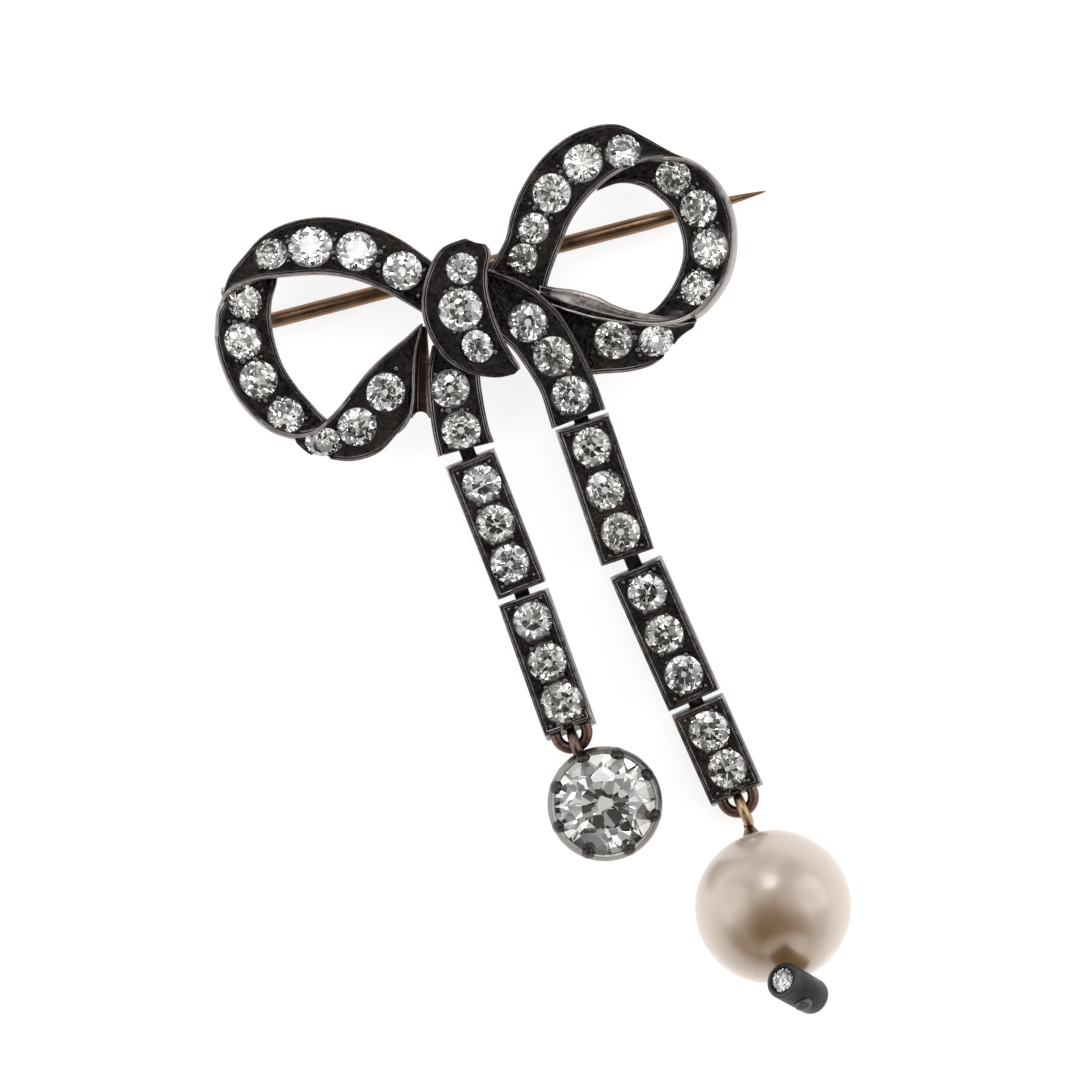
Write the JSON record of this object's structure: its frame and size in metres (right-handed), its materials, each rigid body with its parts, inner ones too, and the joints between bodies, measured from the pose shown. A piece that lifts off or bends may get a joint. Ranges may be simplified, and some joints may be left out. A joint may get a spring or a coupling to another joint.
{
  "type": "bow brooch",
  "caption": "Ribbon bow brooch set with old-cut stones, with two linked box-plate tails, a claw-set drop, a capped pearl drop and a hinged pin behind.",
  "frame": {"origin": "middle of the footprint, on the surface the brooch lies on", "axes": "+X across the bow to its right loop, +Y from the drops up to the bow, +Z out of the brooch's front"},
  "size_m": [0.0344, 0.054, 0.0099],
  "materials": {
    "dark_silver": "oxidised silver, worn bright on the thread rims",
    "pale_silver": "lightly tarnished silver",
    "rose_gold": "satin low-carat gold",
    "old_cut_diamond": "old-cut stone",
    "pearl": "soft cream lustre"
  },
  "bodies": {
    "brooch": {"bow_frame": "dark_silver", "hinge_rivet": "rose_gold", "left_plate_1": "dark_silver", "left_plate_2": "dark_silver", "right_plate_1": "dark_silver", "right_plate_2": "dark_silver", "right_plate_3": "dark_silver", "drop_collet": "pale_silver", "drop_stone": "old_cut_diamond", "pearl": "pearl", "pearl_post": "rose_gold", "pearl_cap": "dark_silver", "cap_stone": "old_cut_diamond", "left_loop_stones": "old_cut_diamond", "right_loop_stones": "old_cut_diamond", "knot_stones": "old_cut_diamond", "left_tail_stones": "old_cut_diamond", "right_tail_stones": "old_cut_diamond", "left_plate_1_stones": "old_cut_diamond", "left_plate_2_stones": "old_cut_diamond", "right_plate_1_stones": "old_cut_diamond", "right_plate_2_stones": "old_cut_diamond", "right_plate_3_stones": "old_cut_diamond"},
    "pin": {"pin_stem": "rose_gold"}
  },
  "joints": [
    {"name": "pin_hinge", "type": "hinge", "parent": "brooch", "child": "pin", "pos_m": [-0.01485, 0.02235, 0.00105], "axis": [0.0594, 0.64, -0.766], "range_deg": [0, 80]}
  ]
}
